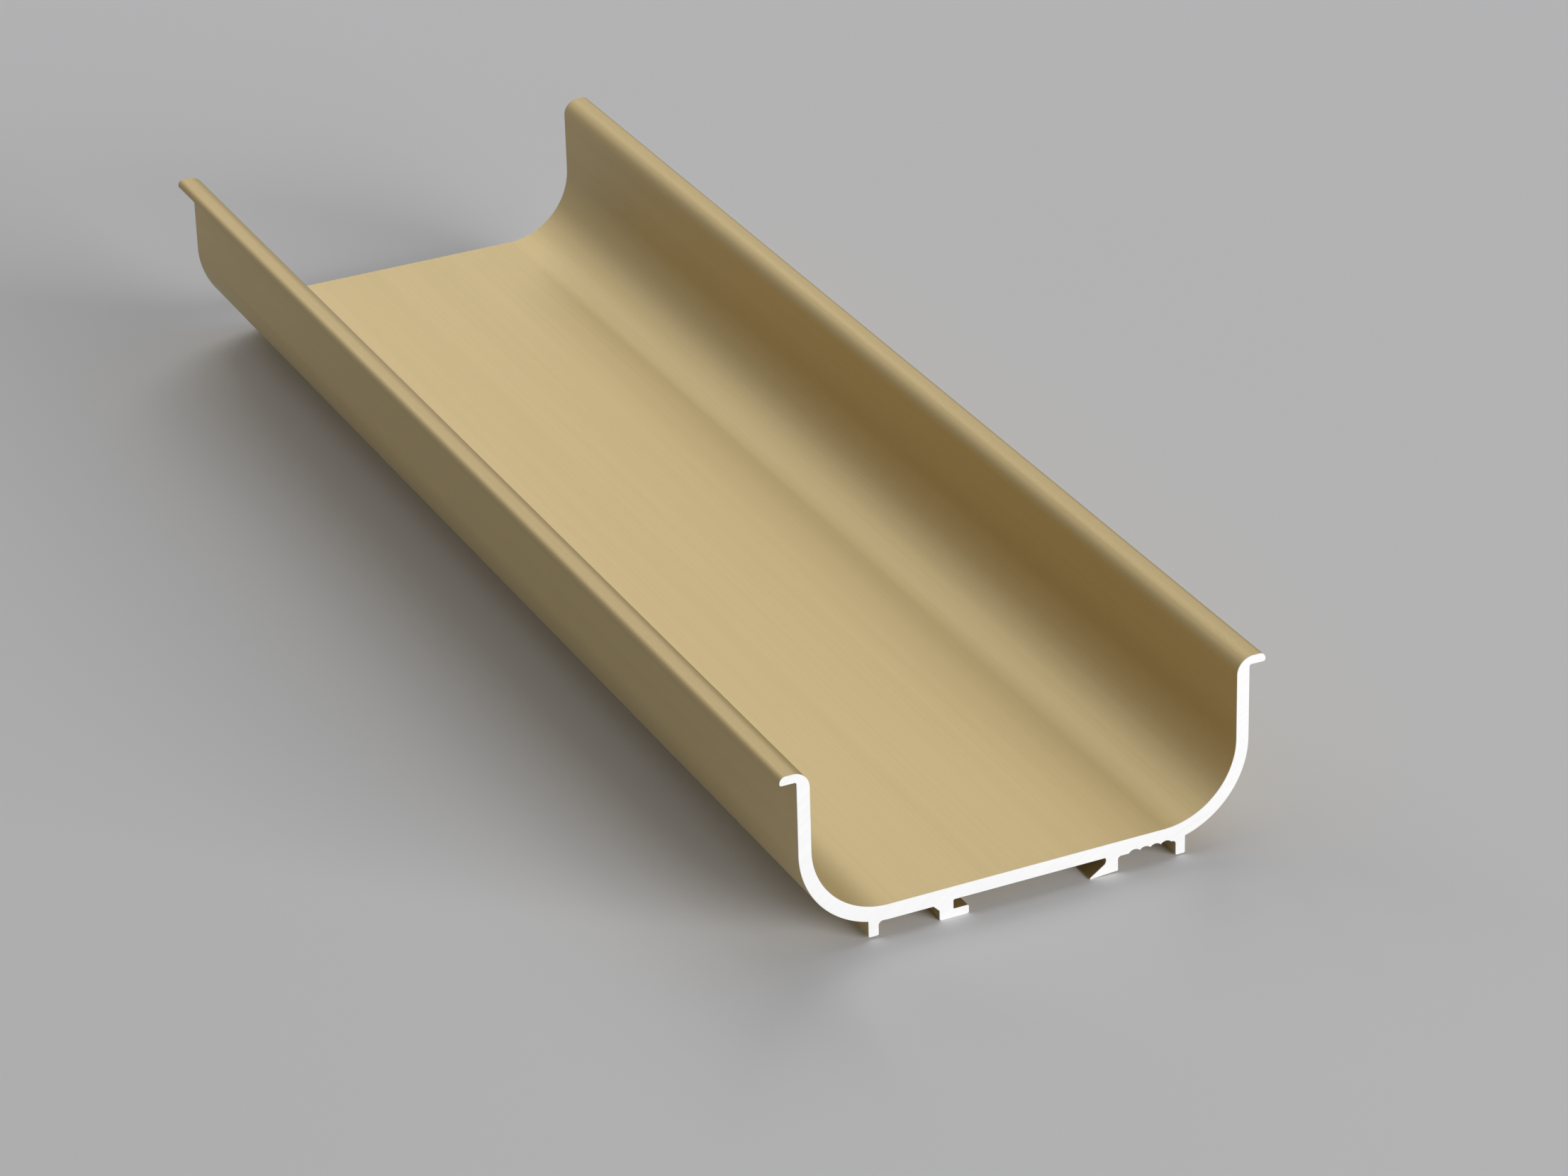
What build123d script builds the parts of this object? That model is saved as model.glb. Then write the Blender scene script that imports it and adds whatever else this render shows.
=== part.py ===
"""Handleless finger pull profile: a C-shaped aluminium extrusion for handleless cabinet fronts.

It is one piece of sawn stock. It lies on its back ribs with the finger channel open upwards.
X runs across the section, Y runs along the length and Z points up. All sizes are millimetres.
The origin is at the middle of the footprint, on the plane that the two hooks rest on.
"""
from build123d import *
import os

# Overall size of the piece of stock
overall_width = 74.0        # lip tip to lip tip
overall_height = 28.5       # hook soles to the tops of the lips
length = 228.0              # sawn length

# Main walls
arm_wall = 1.95
web_wall = 2.35
bend_radius = 11.3          # inside radius of the two big finger bends

# Lips, turned outwards at the top of each arm
lip_reach = 2.5             # from the outer face of the arm to the tip
lip_wall = 1.35
lip_radius = 2.5            # rolled inner edge, where the fingers pull
lip_tip_round = 0.7 * lip_wall      # upper edge of the tip, a soft round
lip_tip_corner = 0.25 * lip_wall    # lower edge of the tip
lip_root_fillet = 0.3       # under the lip, against the arm

# Hooked clip channel on the back, with a foot hook on the left and a barb hook on the right
hook_drop = 2.45            # both hooks, below the underside of the web
channel_recess = 0.3        # the web is thinner by this much between the hooks
channel_fillet = 0.25       # inner corners of the channel
foot_stem_x = -12.5         # middle of the left hook's stem
foot_stem_wall = 2.15
foot_reach = 2.35           # from the stem to the end of the foot
foot_wall = 1.3
foot_root_chamfer = 0.9     # outer root of the stem
barb_stem_x = 13.1          # middle of the right hook's stem
barb_stem_wall = 1.9
barb_reach = 2.5            # from the stem to the tip of the barb
barb_rise = 1.7             # height of the slanted face inside the barb
barb_nose = 0.2             # blunt height of the barb's tip
barb_sole_rise = 0.25       # the barb's sole climbs this much from its tip to its heel
barb_throat_fillet = 0.8    # where the slanted face meets the stem
barb_root_fillet = 0.5      # outer root of the stem

# Plain support ribs, each set back a little way into the start of its bend
left_rib_setback = 1.75     # from the end of the flat web to the rib's inner face
left_rib_wall = 1.55
left_rib_drop = 2.1
left_rib_fillet = 0.7       # root of the rib, on the side of the web
right_rib_setback = 2.05
right_rib_wall = 1.5
right_rib_drop = 2.25
right_rib_fillet = 0.5
lower_edge_fillet = 0.25    # rounded lower edges of the ribs and of the foot hook

# Scalloped grip band on the back, in the room between the barb hook and the right rib
scallop_pitch = 1.65
scallop_radius = 1.1
scallop_depth = 0.45
scallop_gap = 1.5           # from the face of the right rib to the middle of the last scallop

# Levels, from the hook soles up
web_underside = hook_drop
web_middle = web_underside + web_wall / 2
web_top = web_underside + web_wall
channel_roof = web_underside + channel_recess
lip_top = overall_height
lip_underside = lip_top - lip_wall
arm_top = lip_top - lip_radius

# Half widths, from the middle out
half_width = overall_width / 2
arm_outer = half_width - lip_reach
arm_inner = arm_outer - arm_wall
outer_bend_radius = bend_radius + (arm_wall + web_wall) / 2
flat_web_half = arm_outer - outer_bend_radius

# Faces of the hooks and ribs
foot_stem_left = foot_stem_x - foot_stem_wall / 2
foot_stem_right = foot_stem_x + foot_stem_wall / 2
foot_end = foot_stem_right + foot_reach
barb_stem_left = barb_stem_x - barb_stem_wall / 2
barb_stem_right = barb_stem_x + barb_stem_wall / 2
barb_tip = barb_stem_left - barb_reach
barb_throat = barb_nose + barb_rise
left_rib_right = -flat_web_half - left_rib_setback
left_rib_left = left_rib_right - left_rib_wall
left_rib_bottom = web_underside - left_rib_drop
right_rib_left = flat_web_half + right_rib_setback
right_rib_right = right_rib_left + right_rib_wall
right_rib_bottom = web_underside - right_rib_drop

# The scallops run from the right rib towards the barb hook, as many as there is room for
last_scallop_x = right_rib_left - scallop_gap
first_scallop_limit = barb_stem_right + barb_root_fillet + scallop_pitch / 2
scallop_count = 1 + int((last_scallop_x - first_scallop_limit) / scallop_pitch)
scallop_z = web_underside + scallop_depth - scallop_radius
scallop_centres = [(last_scallop_x - n * scallop_pitch, scallop_z) for n in range(scallop_count)]


def corners(sketch, *points):
    """The corner of the outline that lies nearest to each point."""
    return [sketch.vertices().sort_by_distance(Vector(*point))[0] for point in points]


with BuildPart() as finger_pull_profile:
    with BuildSketch(Plane.XZ) as section:
        # Trough: arm, bend, web, bend and arm, between an outer and an inner line
        with BuildLine():
            outer = FilletPolyline((-arm_outer, arm_top), (-arm_outer, web_underside),
                                   (arm_outer, web_underside), (arm_outer, arm_top),
                                   radius=outer_bend_radius)
            inner = FilletPolyline((-arm_inner, arm_top), (-arm_inner, web_top),
                                   (arm_inner, web_top), (arm_inner, arm_top),
                                   radius=bend_radius)
            Line(outer @ 0, inner @ 0)
            Line(outer @ 1, inner @ 1)
        make_face()

        # Lips: the rolled inner edge, the flat top, the blunt rounded tip and the underside
        with BuildLine():
            roll = RadiusArc((arm_inner, arm_top), (arm_inner + lip_radius, lip_top), lip_radius)
            Polyline(roll @ 1, (half_width, lip_top), (half_width, lip_underside),
                     (arm_outer, lip_underside), (arm_outer, arm_top), roll @ 0)
        make_face()
        fillet(corners(section, (half_width, lip_top)), radius=lip_tip_round)
        fillet(corners(section, (half_width, lip_underside)), radius=lip_tip_corner)
        fillet(corners(section, (arm_outer, lip_underside)), radius=lip_root_fillet)
        mirror(about=Plane.YZ)

        # Recessed roof of the clip channel
        with Locations((foot_stem_right, web_underside)):
            Rectangle(barb_stem_left - foot_stem_right, channel_recess,
                      align=(Align.MIN, Align.MIN), mode=Mode.SUBTRACT)

        # Foot hook: a stem with a foot that points to the middle
        with BuildLine():
            Polyline((foot_stem_left, web_middle), (foot_stem_left, 0), (foot_end, 0),
                     (foot_end, foot_wall), (foot_stem_right, foot_wall),
                     (foot_stem_right, web_middle), close=True)
        make_face()
        chamfer(corners(section, (foot_stem_left, web_underside)), length=foot_root_chamfer)

        # Barb hook: a stem with a pointed barb towards the middle, slanted inside
        with BuildLine():
            Polyline((barb_stem_right, web_middle), (barb_stem_right, barb_sole_rise),
                     (barb_tip, 0), (barb_tip, barb_nose), (barb_stem_left, barb_throat),
                     (barb_stem_left, web_middle), close=True)
        make_face()
        fillet(corners(section, (barb_stem_left, barb_throat)), radius=barb_throat_fillet)
        fillet(corners(section, (barb_stem_right, web_underside)), radius=barb_root_fillet)
        fillet(corners(section, (foot_stem_right, channel_roof), (barb_stem_left, channel_roof)),
               radius=channel_fillet)

        # Straight ribs, rooted where the web starts to bend
        for rib_left, rib_wall, rib_bottom in ((left_rib_left, left_rib_wall, left_rib_bottom),
                                               (right_rib_left, right_rib_wall, right_rib_bottom)):
            with Locations((rib_left, rib_bottom)):
                Rectangle(rib_wall, web_middle - rib_bottom, align=(Align.MIN, Align.MIN))
        fillet(corners(section, (left_rib_right, web_underside)), radius=left_rib_fillet)
        fillet(corners(section, (right_rib_left, web_underside)), radius=right_rib_fillet)

        # Rounded lower edges of the ribs and of the foot hook
        fillet(corners(section,
                       (left_rib_left, left_rib_bottom), (left_rib_right, left_rib_bottom),
                       (right_rib_left, right_rib_bottom), (right_rib_right, right_rib_bottom),
                       (foot_stem_left, 0), (foot_end, 0), (foot_end, foot_wall)),
               radius=lower_edge_fillet)

        # Scallops of the grip band
        with Locations(*scallop_centres):
            Circle(scallop_radius, mode=Mode.SUBTRACT)
    extrude(amount=length / 2, both=True)

finger_pull_profile.part.label = "finger_pull_profile"

print(f"section area {section.sketch.area:.1f} mm2")
print(f"volume {finger_pull_profile.part.volume / 1000:.2f} cm3")

os.makedirs("parts", exist_ok=True)
export_step(finger_pull_profile.part, "parts/finger_pull_profile.step")
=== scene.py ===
import math

import bmesh
import bpy
from mathutils import Matrix, Vector


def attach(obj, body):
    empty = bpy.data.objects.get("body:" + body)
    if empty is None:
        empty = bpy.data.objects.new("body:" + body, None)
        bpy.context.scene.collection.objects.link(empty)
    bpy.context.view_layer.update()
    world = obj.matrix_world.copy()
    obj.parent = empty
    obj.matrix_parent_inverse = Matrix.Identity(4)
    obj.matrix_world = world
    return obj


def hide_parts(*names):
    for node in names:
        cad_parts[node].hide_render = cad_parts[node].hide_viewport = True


# %% [markdown]
# The object is one short length of an aluminium extrusion. It is the channel that is let into a
# cabinet behind handleless fronts, so that fingers can reach in and pull. It lies on the two hooks
# of its back, with the open side up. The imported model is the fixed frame: it says how large the
# profile is and where it lies, and everything here is built around it, in metres.

# %% Load the frame
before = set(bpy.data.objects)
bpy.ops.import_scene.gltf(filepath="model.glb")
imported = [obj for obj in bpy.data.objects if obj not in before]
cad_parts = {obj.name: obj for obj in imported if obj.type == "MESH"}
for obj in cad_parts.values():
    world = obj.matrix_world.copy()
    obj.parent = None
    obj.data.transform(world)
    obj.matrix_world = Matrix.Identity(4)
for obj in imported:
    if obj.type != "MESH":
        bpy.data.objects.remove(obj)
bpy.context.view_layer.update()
mm = 0.001

# %% [markdown]
# An extrusion has one section, and every size of it is a size of the die that the metal is pressed
# through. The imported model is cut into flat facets, which show as bands on a satin metal. So the
# profile is drawn again here from the same sizes, with much finer bends. Keeping the sizes as named
# values, and working the rest out from them, is how a die is drawn, and a changed wall or lip then
# moves everything that hangs on it. The trough comes first: a web, two arms and the bends between.

# %% The trough, in millimetres
overall_width, overall_height, length = 74.0, 28.5, 228.0
arm_wall, web_wall, bend_radius = 1.95, 2.35, 11.3
lip_reach = 2.5             # from the outer face of an arm to the tip of its lip
hook_drop = 2.45            # the hooks hold the web this far off the floor

half_width = overall_width / 2
arm_outer = half_width - lip_reach
arm_inner = arm_outer - arm_wall
web_underside = hook_drop
web_top = web_underside + web_wall
outer_bend_radius = bend_radius + (arm_wall + web_wall) / 2
flat_web_half = arm_outer - outer_bend_radius
bend_centre_z = web_underside + outer_bend_radius
print(f"flat of the web {2 * flat_web_half:.2f} mm, outer bends {outer_bend_radius:.2f} mm")

# %% [markdown]
# The section is drawn as one closed line, the way it is drawn for the die: corner by corner, each
# with the radius that rounds it. The corners go round against the clock, seen from the near end,
# with the metal on the left hand. Where a rib stands on a bend, the bend is cut short, so the outer
# bends are given as short steps of their arcs. All other corners stay single points with a radius,
# and the node tree rounds them.

# %% Helpers for the drawing
drawing = []                # x, z, corner radius, and whether a scallop starts here


def draw_to(x, z, radius=0.0, scallop=False):
    """Adds the next corner of the section."""
    drawing.append((x, z, radius, scallop))


def under_bend(x):
    """Height of the outer line of the trough at x, on the flat web or on a bend."""
    past_flat = max(0.0, abs(x) - flat_web_half)
    return bend_centre_z - math.sqrt(max(0.0, outer_bend_radius**2 - past_flat**2))


def draw_bend(x_from, x_to, step=2.0):
    """Adds an outer bend in steps of a few degrees, with a corner at each end."""
    side = math.copysign(1.0, x_from + x_to)
    start, end = (math.asin(min(1.0, (abs(x) - flat_web_half) / outer_bend_radius))
                  for x in (x_from, x_to))
    count = max(2, round(abs(math.degrees(end - start)) / step))
    for n in range(count + 1):
        angle = start + (end - start) * n / count
        draw_to(side * (flat_web_half + outer_bend_radius * math.sin(angle)),
                bend_centre_z - outer_bend_radius * math.cos(angle))


print(f"the outer line climbs {under_bend(arm_outer) - web_underside:.2f} mm in a bend")

# %% [markdown]
# The line starts under the left lip and goes down the outside of the left arm. Where the bend runs
# out into the web it meets a plain rib, one of two that steady the profile on its back. A rib is
# two straight walls with soft lower edges, and a fillet at its root, where the metal would tear if
# it left the die at a sharp corner.

# %% Left arm and left rib
lip_wall, lip_root_fillet = 1.35, 0.3
lower_edge_fillet = 0.25    # the lower edges of the ribs and of the foot hook
left_rib_setback, left_rib_wall, left_rib_drop, left_rib_fillet = 1.75, 1.55, 2.1, 0.7
bend_tail = 0.5             # the last bit of the bend, almost flat, is one step

lip_underside = overall_height - lip_wall
left_rib_right = -flat_web_half - left_rib_setback
left_rib_left = left_rib_right - left_rib_wall
left_rib_bottom = web_underside - left_rib_drop
draw_to(-arm_outer, lip_underside, lip_root_fillet)
draw_bend(-arm_outer, left_rib_left)
draw_to(left_rib_left, left_rib_bottom, lower_edge_fillet)
draw_to(left_rib_right, left_rib_bottom, lower_edge_fillet)
draw_to(left_rib_right, under_bend(left_rib_right), left_rib_fillet)
draw_to(-flat_web_half - bend_tail, under_bend(-flat_web_half - bend_tail))
draw_to(-flat_web_half, web_underside)
print(f"left rib ends {left_rib_bottom:.2f} mm above the floor, {len(drawing)} corners so far")

# %% [markdown]
# Two hooks face each other across the back, and a bracket on the side of the cabinet holds the
# profile between them. The left one is a foot: a stem with a flat sole that points to the middle.
# The profile lies on it here. The web is a little thinner between the hooks, which gives the
# bracket its room. A die never leaves a corner quite sharp, so even the sharp corners get a radius.

# %% Foot hook
die_corner = 0.08
channel_recess, channel_fillet = 0.3, 0.25
foot_stem_x, foot_stem_wall, foot_reach, foot_wall, foot_root_chamfer = -12.5, 2.15, 2.35, 1.3, 0.9

channel_roof = web_underside + channel_recess
foot_stem_left = foot_stem_x - foot_stem_wall / 2
foot_stem_right = foot_stem_x + foot_stem_wall / 2
foot_end = foot_stem_right + foot_reach
draw_to(foot_stem_left - foot_root_chamfer, web_underside, die_corner)
draw_to(foot_stem_left, web_underside - foot_root_chamfer, die_corner)
draw_to(foot_stem_left, 0, lower_edge_fillet)
draw_to(foot_end, 0, lower_edge_fillet)
draw_to(foot_end, foot_wall, lower_edge_fillet)
draw_to(foot_stem_right, foot_wall, die_corner)
draw_to(foot_stem_right, channel_roof, channel_fillet)
print(f"room over the foot {channel_roof - foot_wall:.2f} mm")

# %% [markdown]
# The right hook is a barb. Its inner face slants up to the stem, so that a bracket that is hooked
# under the foot can be pressed in past the barb and then stays. It could be drawn as a plain wedge,
# but the die gives it a blunt nose and a rounded throat, and both catch light in the photograph.

# %% Barb hook
nose_corner = 0.06          # finer than the other corners, because the nose is narrow
barb_stem_x, barb_stem_wall, barb_reach, barb_rise, barb_nose = 13.1, 1.9, 2.5, 1.7, 0.2
barb_sole_rise, barb_throat_fillet, barb_root_fillet = 0.25, 0.8, 0.5

barb_stem_left = barb_stem_x - barb_stem_wall / 2
barb_stem_right = barb_stem_x + barb_stem_wall / 2
barb_tip = barb_stem_left - barb_reach
draw_to(barb_stem_left, channel_roof, channel_fillet)
draw_to(barb_stem_left, barb_nose + barb_rise, barb_throat_fillet)
draw_to(barb_tip, barb_nose, nose_corner)
draw_to(barb_tip, 0, nose_corner)
draw_to(barb_stem_right, barb_sole_rise, die_corner)
draw_to(barb_stem_right, web_underside, barb_root_fillet)
print(f"mouth of the clip channel {barb_tip - foot_end:.2f} mm")

# %% [markdown]
# The band of scallops on the back gives glue and clips something to grip. The scallops run from the
# right rib towards the barb hook, as many as there is room for. Two neighbours meet in a cusp, and
# the last one runs out on the start of the bend. Only the cusps are worked out here: the round
# hollows between them are left to the node tree, because a rule that repeats belongs there.

# %% The scallops and their cusps
scallop_pitch, scallop_radius, scallop_depth, scallop_gap = 1.65, 1.1, 0.45, 1.5
right_rib_setback = 2.05

right_rib_left = flat_web_half + right_rib_setback
last_scallop_x = right_rib_left - scallop_gap
first_scallop_limit = barb_stem_right + barb_root_fillet + scallop_pitch / 2
scallop_count = 1 + int((last_scallop_x - first_scallop_limit) / scallop_pitch)
first_scallop_x = last_scallop_x - (scallop_count - 1) * scallop_pitch
scallop_z = web_underside + scallop_depth - scallop_radius


def scallop_height(x, centre_x):
    """Height of the round hollow of one scallop at x."""
    return scallop_z + math.sqrt(max(0.0, scallop_radius**2 - (x - centre_x) ** 2))


draw_to(first_scallop_x - math.sqrt(scallop_radius**2 - (web_underside - scallop_z) ** 2),
        web_underside, scallop=True)
for n in range(scallop_count - 1):
    cusp = first_scallop_x + (n + 0.5) * scallop_pitch
    draw_to(cusp, scallop_height(cusp, cusp - scallop_pitch / 2), scallop=True)
print(f"{scallop_count} scallops, the first at x {first_scallop_x:.2f} mm")

# %% [markdown]
# The last scallop ends where its hollow comes down to the bend. That place has no simple formula,
# so it is found by walking: small steps outwards until the hollow no longer lies above the bend.
# Then comes the right rib, a little narrower than the left one, and the outside of the right arm.

# %% End of the band, right rib and right arm
right_rib_wall, right_rib_drop, right_rib_fillet = 1.5, 2.25, 0.5
walking_step = 0.001

band_end = last_scallop_x + scallop_pitch / 2
while scallop_height(band_end, last_scallop_x) > under_bend(band_end):
    band_end += walking_step
right_rib_right = right_rib_left + right_rib_wall
right_rib_bottom = web_underside - right_rib_drop
draw_to(band_end, under_bend(band_end))
draw_to(right_rib_left, under_bend(right_rib_left), right_rib_fillet)
draw_to(right_rib_left, right_rib_bottom, lower_edge_fillet)
draw_to(right_rib_right, right_rib_bottom, lower_edge_fillet)
draw_bend(right_rib_right, arm_outer)
print(f"band ends at x {band_end:.2f} mm, the rib starts at {right_rib_left:.2f} mm")

# %% [markdown]
# The lips turn outwards at the top of both arms and cover the edge of the cabinet's notch. Fingers
# pull on their inner edge, so that edge is rolled to a large radius, and the tips are soft as well.
# The inside of the trough has no hooks or ribs, so two corners with the bend radius are all it
# needs, and the line closes where it began.

# %% Both lips and the inside of the channel
lip_radius = 2.5
lip_tip_round = 0.7 * lip_wall          # upper edge of the tip
lip_tip_corner = 0.25 * lip_wall        # lower edge of the tip

draw_to(arm_outer, lip_underside, lip_root_fillet)
draw_to(half_width, lip_underside, lip_tip_corner)
draw_to(half_width, overall_height, lip_tip_round)
draw_to(arm_inner, overall_height, lip_radius)
draw_to(arm_inner, web_top, bend_radius)
draw_to(-arm_inner, web_top, bend_radius)
draw_to(-arm_inner, overall_height, lip_radius)
draw_to(-half_width, overall_height, lip_tip_round)
draw_to(-half_width, lip_underside, lip_tip_corner)
print(len(drawing), "corners drawn")

# %% [markdown]
# Materials and node trees are both built from nodes, so a few small helpers serve for all of them.
# The most used one places a node and fills its inputs, with a number, or with a link where the
# value is a socket.

# %% Helpers for nodes
def fill(node, inputs):
    """Fills the inputs of a node with values, or with links where a value is a socket."""
    for name, value in inputs.items():
        if isinstance(value, bpy.types.NodeSocket):
            node.id_data.links.new(value, node.inputs[name])
        else:
            node.inputs[name].default_value = value
    return node


def add_node(tree, kind, inputs=None, **settings):
    """Places a node in a tree, sets it up and fills its inputs."""
    made = tree.nodes.new(kind)
    for name, value in settings.items():
        setattr(made, name, value)
    return fill(made, inputs or {})


def calculate(tree, operation, *values):
    """One step of arithmetic. Values are numbers or sockets."""
    return add_node(tree, "ShaderNodeMath", dict(enumerate(values)), operation=operation).outputs[0]


def add_sockets(tree, in_out, **kinds):
    """Gives a group its named inputs or outputs. An underscore stands for a space."""
    for name, kind in kinds.items():
        tree.interface.new_socket(name.replace("_", " "), in_out=in_out,
                                  socket_type="NodeSocket" + kind)


# %% [markdown]
# Tool lines are fine parallel lines that a tool leaves: the die draws them along the profile, and a
# saw leaves them in arcs across its end. They could be drawn one by one, but a noise that is
# squeezed hard in one direction gives lines that start, fade and stop as real ones do. Two finishes
# use them, so they are a group, and each finish sets its own scale.

# %% Shared effect: tool lines
tool_lines = bpy.data.node_groups.new("tool_lines", "ShaderNodeTree")
add_sockets(tool_lines, "INPUT", Vector="Vector", Across="Float", Along="Float", Waviness="Float")
add_sockets(tool_lines, "OUTPUT", Lines="Float")
lines_in = tool_lines.nodes.new("NodeGroupInput").outputs
squeeze = add_node(tool_lines, "ShaderNodeCombineXYZ",
                   {"X": lines_in["Across"], "Y": lines_in["Along"], "Z": lines_in["Across"]})
squeezed = add_node(tool_lines, "ShaderNodeVectorMath",
                    {0: lines_in["Vector"], 1: squeeze.outputs[0]}, operation="MULTIPLY")
line_noise = add_node(tool_lines, "ShaderNodeTexNoise",
                      {"Vector": squeezed.outputs[0], "Scale": 1.0, "Detail": 3.0,
                       "Roughness": 0.6, "Distortion": lines_in["Waviness"]})
line_contrast = add_node(tool_lines, "ShaderNodeMapRange",
                         {"Value": line_noise.outputs["Fac"], "From Min": 0.3, "From Max": 0.7})
add_node(tool_lines, "NodeGroupOutput", {"Lines": line_contrast.outputs[0]})
print(len(tool_lines.nodes), "nodes draw the tool lines")

# %% [markdown]
# Satin grain is the even bloom that an etching bath gives metal before it is anodised. It is the
# same in all directions, so a plain fine noise is enough. Set coarser and harder, the same noise is
# the torn grain of a sawn face. The sharpness moves both ends of the noise's range inwards, which
# raises its contrast.

# %% Shared effect: satin grain
softest_end, sharper_by = 0.2, 0.25
satin_grain = bpy.data.node_groups.new("satin_grain", "ShaderNodeTree")
add_sockets(satin_grain, "INPUT", Vector="Vector", Fineness="Float", Sharpness="Float")
add_sockets(satin_grain, "OUTPUT", Grain="Float")
grain_in = satin_grain.nodes.new("NodeGroupInput").outputs
grain_noise = add_node(satin_grain, "ShaderNodeTexNoise",
                       {"Vector": grain_in["Vector"], "Scale": grain_in["Fineness"],
                        "Detail": 2.0, "Roughness": 0.55})
low_end = calculate(satin_grain, "MULTIPLY_ADD", grain_in["Sharpness"], sharper_by, softest_end)
high_end = calculate(satin_grain, "SUBTRACT", 1.0, low_end)
grain_contrast = add_node(satin_grain, "ShaderNodeMapRange",
                          {"Value": grain_noise.outputs["Fac"], "From Min": low_end,
                           "From Max": high_end})
add_node(satin_grain, "NodeGroupOutput", {"Grain": grain_contrast.outputs[0]})
print(len(satin_grain.nodes), "nodes draw the satin grain")

# %% [markdown]
# The finish is champagne gold, satin anodised. The dye sits in a clear glassy film on the metal, so
# the look is metal under a thin coat: coloured where it mirrors the room, paler where the film
# catches light at a glance. Die lines run along the length, some fine and some in broad faint
# bands, because the die wears unevenly. Everything reads the object's own coordinates, so the
# pattern stays on the metal.

# %% Helpers for finishes
def start_material(name):
    """Starts a material. Returns it with its node tree and its Principled shader."""
    material = bpy.data.materials.new(name)
    material.use_nodes = True
    return material, material.node_tree, material.node_tree.nodes["Principled BSDF"]


def mix_colours(tree, amount, first, second):
    """Mixes two colours by an amount from 0 to 1."""
    mixed = add_node(tree, "ShaderNodeMix", {0: amount, 6: first, 7: second}, data_type="RGBA")
    return mixed.outputs[2]


# %% Champagne gold: its lines, bands and grain
gold, tree, shader = start_material("champagne_anodised_satin")
on_metal = add_node(tree, "ShaderNodeTexCoord").outputs["Object"]
fine_lines = add_node(tree, "ShaderNodeGroup",
                      {"Vector": on_metal, "Across": 2600.0, "Along": 9.0, "Waviness": 0.0},
                      node_tree=tool_lines).outputs["Lines"]
broad_bands = add_node(tree, "ShaderNodeGroup",
                       {"Vector": on_metal, "Across": 170.0, "Along": 1.5, "Waviness": 0.0},
                       node_tree=tool_lines).outputs["Lines"]
grain = add_node(tree, "ShaderNodeGroup",
                 {"Vector": on_metal, "Fineness": 6500.0, "Sharpness": 0.2},
                 node_tree=satin_grain).outputs["Grain"]
print("pattern of", gold.name, "placed")

# %% [markdown]
# Two close tones of the dye follow the broad bands, and the fine lines are a little deeper still.
# The lips get painted shade: their tone is deepened, in small patches that follow the grain,
# standing in for the narrower highlights of their rounded tops. Height alone tells the lips from the
# rest, so a smooth ramp over the rolled edge is mask enough, and no picture has to be painted.

# %% Champagne gold: its colour, with painted shade on the lips
champagne_deep, champagne_pale = (0.543, 0.431, 0.216, 1), (0.566, 0.451, 0.231, 1)
# The second tone on this line is painted shade for the lips, not a colour of the metal.
die_line_tone, lip_shade_tone = (0.5, 0.386, 0.184, 1), (0.38, 0.285, 0.125, 1)
line_share, lip_shade_share, lip_shade_patchiness = 0.2, 0.35, 0.35

banded = mix_colours(tree, broad_bands, champagne_deep, champagne_pale)
lined = mix_colours(tree, calculate(tree, "MULTIPLY", fine_lines, line_share),
                    banded, die_line_tone)
up_from_floor = add_node(tree, "ShaderNodeSeparateXYZ", {0: on_metal}).outputs["Z"]
up_the_lip = add_node(tree, "ShaderNodeMapRange",
                      {"Value": up_from_floor, "From Min": (overall_height - lip_radius) * mm,
                       "From Max": overall_height * mm}, interpolation_type="SMOOTHSTEP")
# Painted shade: the lips are darkened by height, in patches that follow the grain.
painted_lip_shade = calculate(tree, "MULTIPLY", up_the_lip.outputs[0],
                    calculate(tree, "MULTIPLY_ADD", grain, lip_shade_patchiness, lip_shade_share))
fill(shader, {"Base Color": mix_colours(tree, painted_lip_shade, lined, lip_shade_tone)})
print(f"lips are deepened by {lip_shade_share} to {lip_shade_share + lip_shade_patchiness:.2f} at the top")

# %% [markdown]
# Etched and anodised metal is neither matt nor a mirror, so the roughness lies near the middle, and
# lines and grain shift it a little. The same two raise the surface by a few thousandths of a
# millimetre. That is far too fine for geometry, so a bump is the right tool. The coat on top is the
# clear film: weak, soft, and a little denser than glass.

# %% Champagne gold: its gloss and its relief
satin_roughness, rougher_by_lines, rougher_by_grain = 0.56, 0.03, 0.05
grain_height = 0.5          # the grain stands half as high as the lines

roughness = calculate(tree, "MULTIPLY_ADD", fine_lines, rougher_by_lines, satin_roughness)
roughness = calculate(tree, "MULTIPLY_ADD", grain, rougher_by_grain, roughness)
relief = calculate(tree, "MULTIPLY_ADD", grain, grain_height, fine_lines)
bump = add_node(tree, "ShaderNodeBump",
                {"Strength": 0.25, "Distance": 0.006 * mm, "Height": relief})
fill(shader, {"Roughness": roughness, "Normal": bump.outputs[0], "Metallic": 1.0,
              "Coat Weight": 0.3, "Coat Roughness": 0.45, "Coat IOR": 1.6})
print("finish:", gold.name)

# %% [markdown]
# The stock is anodised in long bars and sawn to length after that, so the ends are bare metal. In
# the photograph the near end is so bright that it reads as white. A sawn face scatters light far
# more widely than a rolled one, because the saw leaves it torn, and for that it is close to a matt
# pale grey. The saw lines are arcs: the distance from the middle of the blade is fed to the tool
# lines, in place of a straight coordinate.

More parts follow.
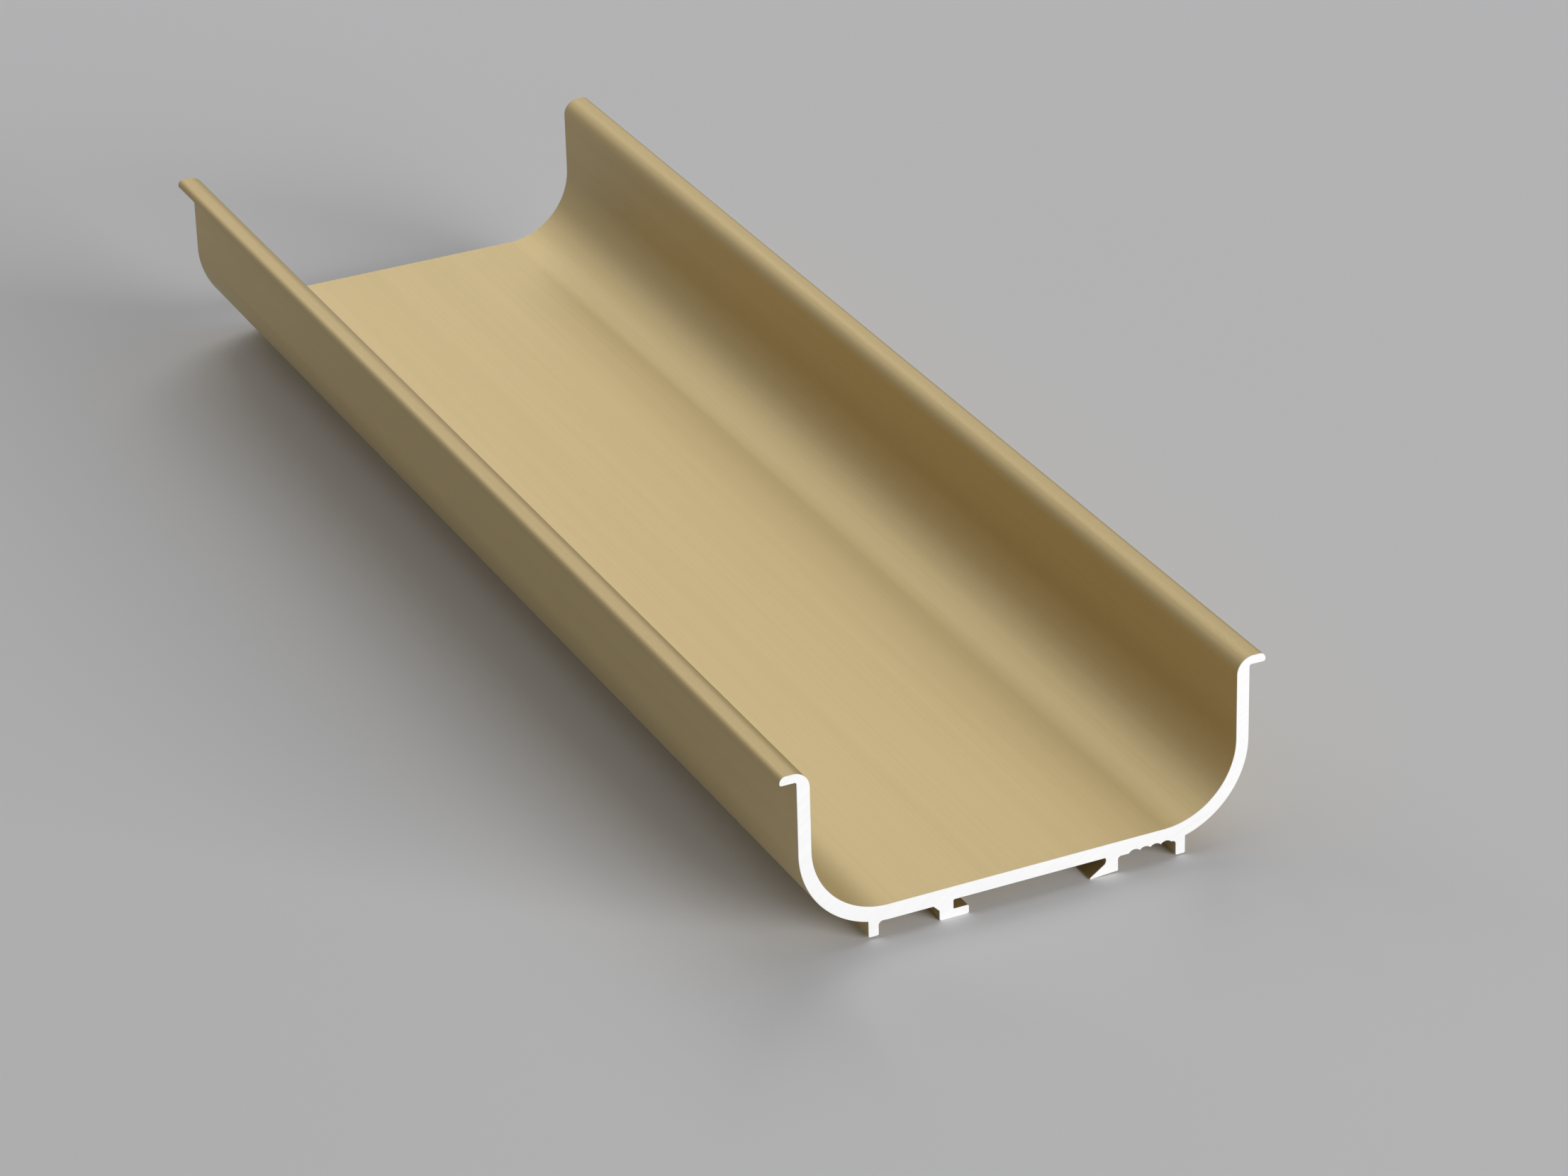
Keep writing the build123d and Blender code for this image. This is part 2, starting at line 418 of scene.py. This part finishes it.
# %% Bare aluminium, sawn: its arcs and its torn grain
blade_middle = (0.07, 0.0, -0.11)
bare, tree, shader = start_material("bare_aluminium_sawn")
on_metal = add_node(tree, "ShaderNodeTexCoord").outputs["Object"]
from_blade = add_node(tree, "ShaderNodeVectorMath", {0: on_metal, 1: blade_middle},
                      operation="SUBTRACT").outputs[0]
blade_place = add_node(tree, "ShaderNodeSeparateXYZ", {0: from_blade}).outputs
blade_distance = add_node(tree, "ShaderNodeVectorMath", {0: from_blade}, operation="LENGTH")
blade_angle = calculate(tree, "ARCTAN2", blade_place["Z"], blade_place["X"])
on_the_arc = add_node(tree, "ShaderNodeCombineXYZ",
                      {"X": blade_distance.outputs["Value"], "Y": blade_angle}).outputs[0]
saw_lines = add_node(tree, "ShaderNodeGroup",
                     {"Vector": on_the_arc, "Across": 3000.0, "Along": 6.0, "Waviness": 0.0},
                     node_tree=tool_lines).outputs["Lines"]
torn = add_node(tree, "ShaderNodeGroup",
                {"Vector": on_metal, "Fineness": 3500.0, "Sharpness": 0.6},
                node_tree=satin_grain).outputs["Grain"]
print("pattern of", bare.name, "placed")

# %% Bare aluminium, sawn: its colour, gloss and relief
sawn_dull, sawn_bright = (0.90, 0.90, 0.895, 1), (0.94, 0.94, 0.94, 1)
sawn_roughness, rougher_by_tears, tear_height = 0.45, 0.15, 0.4

relief = calculate(tree, "MULTIPLY_ADD", torn, tear_height, saw_lines)
bump = add_node(tree, "ShaderNodeBump",
                {"Strength": 0.3, "Distance": 0.01 * mm, "Height": relief})
fill(shader, {"Base Color": mix_colours(tree, saw_lines, sawn_dull, sawn_bright),
              "Roughness": calculate(tree, "MULTIPLY_ADD", torn, rougher_by_tears, sawn_roughness),
              "Normal": bump.outputs[0], "Metallic": 0.15})
print("finish:", bare.name)

# %% [markdown]
# The drawing becomes a mesh of bare edges, laid flat as on paper, because Blender fills a curve
# only in the XY plane. Two attributes ride on its corners, the radius and the scallop mark, so the
# node tree can read them wherever it needs them.

# %% The drawing as a mesh of edges
drawn_mesh = bpy.data.meshes.new("section_drawing")
drawn_mesh.from_pydata([(x * mm, z * mm, 0) for x, z, _, _ in drawing],
                       [(n, (n + 1) % len(drawing)) for n in range(len(drawing))], [])
radii = drawn_mesh.attributes.new("corner_radius", "FLOAT", "POINT")
radii.data.foreach_set("value", [radius * mm for _, _, radius, _ in drawing])
marks = drawn_mesh.attributes.new("scallop", "FLOAT", "POINT")
marks.data.foreach_set("value", [float(scallop) for *_, scallop in drawing])
profile = bpy.data.objects.new("finger_pull_extrusion", drawn_mesh)
bpy.context.scene.collection.objects.link(profile)
print(len(drawn_mesh.edges), "bare edges")

# %% [markdown]
# Now the node tree that makes the metal. It rounds the corners of the drawing, hollows the
# scallops, closes the outline to a sheet and draws it out to its length, which is just what the
# press does. The sizes that a maker would change are inputs of the tree, with plain names, so that
# another length or another band needs no new nodes.

# %% The tree and its inputs
pressing = bpy.data.node_groups.new("press_and_saw_profile", "GeometryNodeTree")
pressing.is_modifier = True
add_sockets(pressing, "INPUT", Section="Geometry", Length="Float", Edge_break="Float",
            Corner_fineness="Float", Scallop_cuts="Int", Scallop_count="Int",
            Scallop_pitch="Float", Scallop_radius="Float", Last_scallop_x="Float",
            Scallop_centre_z="Float", Anodised="Material", Sawn="Material")
add_sockets(pressing, "OUTPUT", Profile="Geometry")
size = pressing.nodes.new("NodeGroupInput").outputs


def attribute(name, data_type="FLOAT"):
    """Reads one of the values that ride on the points."""
    return add_node(pressing, "GeometryNodeInputNamedAttribute", {"Name": name},
                    data_type=data_type).outputs["Attribute"]


print(len(pressing.interface.items_tree) - 1, "inputs")

# %% [markdown]
# Step one rounds the corners. Fillet Curve reads the radius of each corner from the drawing, so one
# node does every fillet of the die. A large bend needs more points than a small corner to look
# round, and the square root of the radius shares them out well. A corner with no radius stays as it
# is.

# %% Step one: round the corners
fewest_points = 3.0
outline = add_node(pressing, "GeometryNodeMeshToCurve", {"Mesh": size["Section"]})
radius = attribute("corner_radius")
points = calculate(pressing, "SQRT", calculate(pressing, "DIVIDE", radius, mm))
points = calculate(pressing, "MULTIPLY_ADD", points, size["Corner fineness"], fewest_points)
points = calculate(pressing, "MULTIPLY", points,
                   calculate(pressing, "GREATER_THAN", radius, 0.0))
rounded = add_node(pressing, "GeometryNodeFilletCurve",
                   {"Curve": outline.outputs[0], "Count": points, "Radius": radius}, mode="POLY")
print(len(pressing.nodes), "nodes so far")

# %% [markdown]
# Step two hollows the scallops. The straight line from cusp to cusp is cut into many short ones,
# and each of their points is lifted onto a circle. Dividing the distance by the pitch and rounding
# it tells which scallop a point belongs to, so that one rule serves for all of them.

# %% Step two: which scallop each point belongs to
cuts = calculate(pressing, "MULTIPLY", attribute("scallop"), size["Scallop cuts"])
divided = add_node(pressing, "GeometryNodeSubdivideCurve",
                   {"Curve": rounded.outputs[0], "Cuts": cuts})
position = add_node(pressing, "GeometryNodeInputPosition").outputs[0]
across = add_node(pressing, "ShaderNodeSeparateXYZ", {0: position}).outputs["X"]
from_last = calculate(pressing, "SUBTRACT", across, size["Last scallop x"])
pitches = calculate(pressing, "ROUND",
                    calculate(pressing, "DIVIDE", from_last, size["Scallop pitch"]))
pitches = calculate(pressing, "MINIMUM", pitches, 0.0)
pitches = calculate(pressing, "MAXIMUM", pitches,
                    calculate(pressing, "SUBTRACT", 1.0, size["Scallop count"]))
off_centre = calculate(pressing, "SUBTRACT", from_last,
                       calculate(pressing, "MULTIPLY", pitches, size["Scallop pitch"]))
print(len(pressing.nodes), "nodes so far")

# %% Step two: lift the points onto the circles
trace_of_mark = 0.001       # the mark fades out along the last hollow, so any trace of it counts
height_squared = calculate(pressing, "SUBTRACT",
                           calculate(pressing, "POWER", size["Scallop radius"], 2.0),
                           calculate(pressing, "MULTIPLY", off_centre, off_centre))
hollow_z = calculate(pressing, "ADD", calculate(pressing, "SQRT", height_squared),
                     size["Scallop centre z"])
hollow = add_node(pressing, "ShaderNodeCombineXYZ", {"X": across, "Y": hollow_z})
in_band = calculate(pressing, "GREATER_THAN", attribute("scallop"), trace_of_mark)
section = add_node(pressing, "GeometryNodeSetPosition",
                   {"Geometry": divided.outputs[0], "Selection": in_band,
                    "Position": hollow.outputs[0]})
print(len(pressing.nodes), "nodes so far")

# %% [markdown]
# Step three notes the direction outwards on every point, while the outline is still a curve and
# knows its own direction. With the metal on the left hand, outwards is the right hand: the tangent
# crossed with the upright. Later steps use it to make the outline a hair smaller or larger.

# %% Step three: the direction outwards
tangent = add_node(pressing, "GeometryNodeInputTangent").outputs[0]
right_hand = add_node(pressing, "ShaderNodeVectorMath", {0: tangent, 1: (0, 0, 1)},
                      operation="CROSS_PRODUCT").outputs[0]
section = add_node(pressing, "GeometryNodeStoreNamedAttribute",
                   {"Geometry": section.outputs[0], "Name": "outwards", "Value": right_hand},
                   data_type="FLOAT_VECTOR", domain="POINT")
outwards = attribute("outwards", "FLOAT_VECTOR")


def outwards_by(distance):
    """A move outwards from the metal."""
    return add_node(pressing, "ShaderNodeVectorMath", {0: outwards, "Scale": distance},
                    operation="SCALE").outputs[0]


def along(distance):
    """A move along the length of the profile, which still stands upright."""
    return add_node(pressing, "ShaderNodeCombineXYZ", {"Z": distance}).outputs[0]


print(len(pressing.nodes), "nodes so far")

# %% [markdown]
# Step four makes the sawn sheet at each end. After sawing the burr is wiped off, which breaks the
# edge by a few hundredths of a millimetre, so the sheet is that much smaller than the section. One
# sheet serves for both ends: it is moved up and down by half the length, and the far one is flipped
# so that it faces out.

# %% Step four: the sawn sheets
shrink = calculate(pressing, "MULTIPLY", size["Edge break"], -1.0)
sawn_line = add_node(pressing, "GeometryNodeSetPosition",
                     {"Geometry": section.outputs[0], "Offset": outwards_by(shrink)})
sheet = add_node(pressing, "GeometryNodeFillCurve", {"Curve": sawn_line.outputs[0]}, mode="NGONS")
half_up = calculate(pressing, "MULTIPLY", size["Length"], 0.5)
half_down = calculate(pressing, "MULTIPLY", size["Length"], -0.5)
near_sheet = add_node(pressing, "GeometryNodeTransform",
                      {"Geometry": sheet.outputs[0], "Translation": along(half_up)})
far_sheet = add_node(pressing, "GeometryNodeTransform",
                     {"Geometry": sheet.outputs[0], "Translation": along(half_down)})
far_sheet = add_node(pressing, "GeometryNodeFlipFaces", {"Mesh": far_sheet.outputs[0]})
print(len(pressing.nodes), "nodes so far")

# %% [markdown]
# Step five draws out the walls. A curve swept with Curve to Mesh would do for them, but it can't
# break the edges of the sawn ends. So the outline of the far sheet is drawn out three times: over a
# tiny chamfer that spreads, over the straight length, and over a chamfer that closes in again. The
# new faces look at the metal, so they are turned to look outwards, as every face of a solid must.

# %% Step five: the walls
ring = add_node(pressing, "GeometryNodeCurveToMesh", {"Curve": sawn_line.outputs[0]})
walls = add_node(pressing, "GeometryNodeTransform",
                 {"Geometry": ring.outputs[0], "Translation": along(half_down)}).outputs[0]
straight = calculate(pressing, "MULTIPLY_ADD", size["Edge break"], -2.0, size["Length"])
newest = True
for distance, spread in ((size["Edge break"], size["Edge break"]), (straight, 0.0),
                         (size["Edge break"], shrink)):
    drawn = add_node(pressing, "GeometryNodeExtrudeMesh",
                     {"Mesh": walls, "Selection": newest, "Offset": along(distance)}, mode="EDGES")
    newest = drawn.outputs["Top"]
    walls = add_node(pressing, "GeometryNodeSetPosition",
                     {"Geometry": drawn.outputs[0], "Selection": newest,
                      "Offset": outwards_by(spread)}).outputs[0]
walls = add_node(pressing, "GeometryNodeFlipFaces", {"Mesh": walls}).outputs[0]
print(len(pressing.nodes), "nodes so far")

# %% [markdown]
# Step six joins sheets and walls and merges the points of the seams, which closes the solid. Bends
# are shaded smooth and true edges stay crisp, told apart by the angle between two faces. At last
# the profile, which has stood upright like a bar in a rack, is laid down on its back.

# %% Step six: join, close the seams, smooth the bends and lay it down
seam_reach, crease_angle = 0.0005 * mm, math.radians(28)
joined = pressing.nodes.new("GeometryNodeJoinGeometry")
for part in (far_sheet.outputs[0], near_sheet.outputs[0], walls):
    pressing.links.new(part, joined.inputs[0])
closed = add_node(pressing, "GeometryNodeMergeByDistance",
                  {"Geometry": joined.outputs[0], "Distance": seam_reach})
smooth = add_node(pressing, "GeometryNodeSetShadeSmooth",
                  {"Geometry": closed.outputs[0], "Shade Smooth": True}, domain="FACE")
edge_angle = add_node(pressing, "GeometryNodeInputMeshEdgeAngle").outputs["Unsigned Angle"]
is_crease = calculate(pressing, "GREATER_THAN", edge_angle, crease_angle)
creased = add_node(pressing, "GeometryNodeSetShadeSmooth",
                   {"Geometry": smooth.outputs[0], "Selection": is_crease,
                    "Shade Smooth": False}, domain="EDGE")
laid = add_node(pressing, "GeometryNodeTransform",
                {"Geometry": creased.outputs[0], "Rotation": (math.radians(90), 0, 0)})
print(len(pressing.nodes), "nodes so far")

# %% [markdown]
# Step seven gives the finishes. The tree ends with Realize Instances, so that only real faces leave
# it, and Set Material. Everything is anodised first. Then the faces that look along the length are
# the sawn ones, because only the two ends do, and they get the bare metal.

# %% Step seven: the finishes
mostly_along = 0.5
real = add_node(pressing, "GeometryNodeRealizeInstances", {"Geometry": laid.outputs[0]})
anodised = add_node(pressing, "GeometryNodeSetMaterial",
                    {"Geometry": real.outputs[0], "Material": size["Anodised"]})
facing = add_node(pressing, "ShaderNodeSeparateXYZ",
                  {0: add_node(pressing, "GeometryNodeInputNormal").outputs[0]})
is_sawn = calculate(pressing, "GREATER_THAN",
                    calculate(pressing, "ABSOLUTE", facing.outputs["Y"]), mostly_along)
finished = add_node(pressing, "GeometryNodeSetMaterial",
                    {"Geometry": anodised.outputs[0], "Selection": is_sawn,
                     "Material": size["Sawn"]})
add_node(pressing, "NodeGroupOutput", {0: finished.outputs[0]})
print(len(pressing.nodes), "nodes press the profile")

# %% [markdown]
# The tree is put on the drawing as a modifier, and its inputs are set by their identifiers before
# it runs for the first time. The result is then turned into a plain mesh, because the export and
# the frame need real faces, and the modifier has done its work and goes.

# %% Press the profile
edge_break = 0.04           # the burr is wiped off the sawn ends, no more
corner_fineness, scallop_cuts = 12.0, 15
press = profile.modifiers.new("press", "NODES")
press.node_group = pressing
wanted = {"Length": length * mm, "Edge break": edge_break * mm,
          "Corner fineness": corner_fineness, "Scallop cuts": scallop_cuts,
          "Scallop count": scallop_count, "Scallop pitch": scallop_pitch * mm,
          "Scallop radius": scallop_radius * mm, "Last scallop x": last_scallop_x * mm,
          "Scallop centre z": scallop_z * mm, "Anodised": gold, "Sawn": bare}
for item in pressing.interface.items_tree:
    if item.name in wanted:
        press[item.identifier] = wanted[item.name]
evaluated = profile.evaluated_get(bpy.context.evaluated_depsgraph_get())
pressed = bpy.data.meshes.new_from_object(evaluated)
pressed.name = "finger_pull_extrusion"
while None in pressed.materials[:]:     # the tree starts from a curve, which has an empty slot
    pressed.materials.pop(index=pressed.materials[:].index(None))
profile.modifiers.clear()
profile.data = pressed
print(len(pressed.polygons), "faces pressed")

# %% [markdown]
# A solid is worth measuring before it is used. No open edges means that it is closed all round. A
# positive volume means that its faces point outwards, and a volume close to that of the packed
# solid means that the outline was drawn right.

# %% Measure it
measured = bmesh.new()
measured.from_mesh(pressed)
open_edges = sum(not edge.is_manifold for edge in measured.edges)
volume = measured.calc_volume(signed=True) / mm**3 / 1000
measured.free()
print(f"{open_edges} open edges, volume {volume:.2f} cm3")
for index, finish in enumerate(pressed.materials):
    print(f"{finish.name}: {sum(face.material_index == index for face in pressed.polygons)} faces")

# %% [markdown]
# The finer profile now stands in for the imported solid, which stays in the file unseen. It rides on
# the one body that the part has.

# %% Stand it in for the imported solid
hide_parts("finger_pull_profile")
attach(profile, "root")
print(profile.name, "stands in for the packed solid")

# %% [markdown]
# The floor is a plain pale disc that ends where the light of the lamps ends, so that a low view
# runs on into the pale room and not over dark ground. It is matt, like paper, so it shows the soft
# shadow of the profile and nothing else. A glossy floor would mirror the lamps in views from behind
# and wash the picture out.

# %% The floor
floor_radius, floor_corners = 1.6, 128
paper, tree, shader = start_material("pale_floor")
fill(shader, {"Base Color": (0.85, 0.85, 0.86, 1), "Roughness": 0.8, "Specular IOR Level": 0.2})
floor_mesh = bpy.data.meshes.new("floor")
rim = [math.tau * n / floor_corners for n in range(floor_corners)]
floor_mesh.from_pydata([(floor_radius * math.cos(angle), floor_radius * math.sin(angle), 0)
                        for angle in rim], [], [range(floor_corners)])
floor_mesh.materials.append(paper)
floor = bpy.data.objects.new("floor", floor_mesh)
bpy.context.scene.collection.objects.link(floor)
print(f"floor {2 * floor_radius:.1f} m across")

# %% [markdown]
# The light is that of a plain studio. A satin metal shows its shape by what it mirrors, so the
# lamps stand behind the profile, where the flat web mirrors them towards the camera. The key lamp
# stands a little to the right, which leaves the right bend and the floor on the left in shade. A
# lamp in front lights the sawn end. Each lamp's level is written as the brightness that it gives a
# white card held towards it. All of them together stay near one, where colours come out as written.

# %% Helper: a soft lamp set by its level
def soft_lamp(name, azimuth, elevation, level, width, height, distance=2.0):
    """A flat lamp that faces the profile. Azimuth 0 stands behind it, 90 to its right."""
    turn, lift = math.radians(azimuth), math.radians(elevation)
    towards = Vector((math.sin(turn) * math.cos(lift), math.cos(turn) * math.cos(lift),
                      math.sin(lift)))
    lamp = bpy.data.lights.new(name, "AREA")
    lamp.shape = "RECTANGLE"
    lamp.size, lamp.size_y = width, height
    lamp.energy = level * math.pi**2 * distance**2
    holder = bpy.data.objects.new(name, lamp)
    holder.location = towards * distance
    holder.rotation_mode = "QUATERNION"
    holder.rotation_quaternion = towards.to_track_quat("Z", "Y")
    holder.visible_camera = False
    bpy.context.scene.collection.objects.link(holder)
    print(f"{name}: level {level} gives {level * math.sin(lift):.2f} on the floor")


# %% The lamps
soft_lamp("key_lamp", azimuth=23, elevation=43, level=0.22, width=1.2, height=1.2)
soft_lamp("back_lamp", azimuth=-14, elevation=35, level=0.14, width=1.3, height=1.2)
soft_lamp("front_lamp", azimuth=158, elevation=13, level=0.88, width=1.5, height=0.8)

# %% [markdown]
# Around the lamps is a plain room. The camera and the metal see its walls as pale grey, because a
# satin metal in a dark room looks dirty. The light that the room spreads over the floor is set
# lower, so that the shadows keep their depth. The Light Path node tells the two apart.

# %% The room
room_light, room_seen = (0.12, 0.12, 0.122, 1), (0.41, 0.41, 0.415, 1)
room = bpy.data.worlds.new("room")
room.use_nodes = True
tree = room.node_tree
ray = add_node(tree, "ShaderNodeLightPath").outputs
is_seen = calculate(tree, "MAXIMUM", ray["Is Camera Ray"], ray["Is Glossy Ray"])
is_seen = calculate(tree, "MAXIMUM", is_seen, ray["Is Transmission Ray"])
fill(tree.nodes["Background"], {"Color": mix_colours(tree, is_seen, room_light, room_seen)})
bpy.context.scene.world = room
print(f"room seen at {room_seen[0]}, lighting at {room_light[0]}")

# %% [markdown]
# The camera's place was worked out from the photograph: the near end's outline and the far end fix
# the angle, the distance and the lens. It stands on the left in front, a little above, and leans a
# little, with no shift and no blur. Three directions say how it is held: the way it looks, and its
# own right and up.

# %% The way the camera looks
view_azimuth, view_elevation, view_roll = (math.radians(a) for a in (-25.090, 27.415, -1.611))
look = Vector((-math.sin(view_azimuth) * math.cos(view_elevation),
               math.cos(view_azimuth) * math.cos(view_elevation), -math.sin(view_elevation)))
level_right = Vector((math.cos(view_azimuth), math.sin(view_azimuth), 0))
level_up = level_right.cross(look)
right = level_right * math.cos(view_roll) + level_up * math.sin(view_roll)
up = level_up * math.cos(view_roll) - level_right * math.sin(view_roll)
print("the camera looks along", [round(v, 3) for v in look])

# %% The camera
aim = Vector((-20.704, -82.379, 38.285)) * mm
distance = 758.3 * mm
lens = bpy.data.cameras.new("photo_camera")
lens.sensor_width, lens.lens = 36.0, 127.32
lens.clip_start, lens.clip_end = 0.02, 30.0
camera = bpy.data.objects.new("photo_camera", lens)
held = Matrix((right, up, -look)).transposed()
camera.matrix_world = Matrix.Translation(aim - look * distance) @ held.to_4x4()
bpy.context.scene.collection.objects.link(camera)
bpy.context.scene.camera = camera
bpy.context.scene.view_settings.view_transform = "Standard"
print("camera at", [round(v, 4) for v in camera.location])
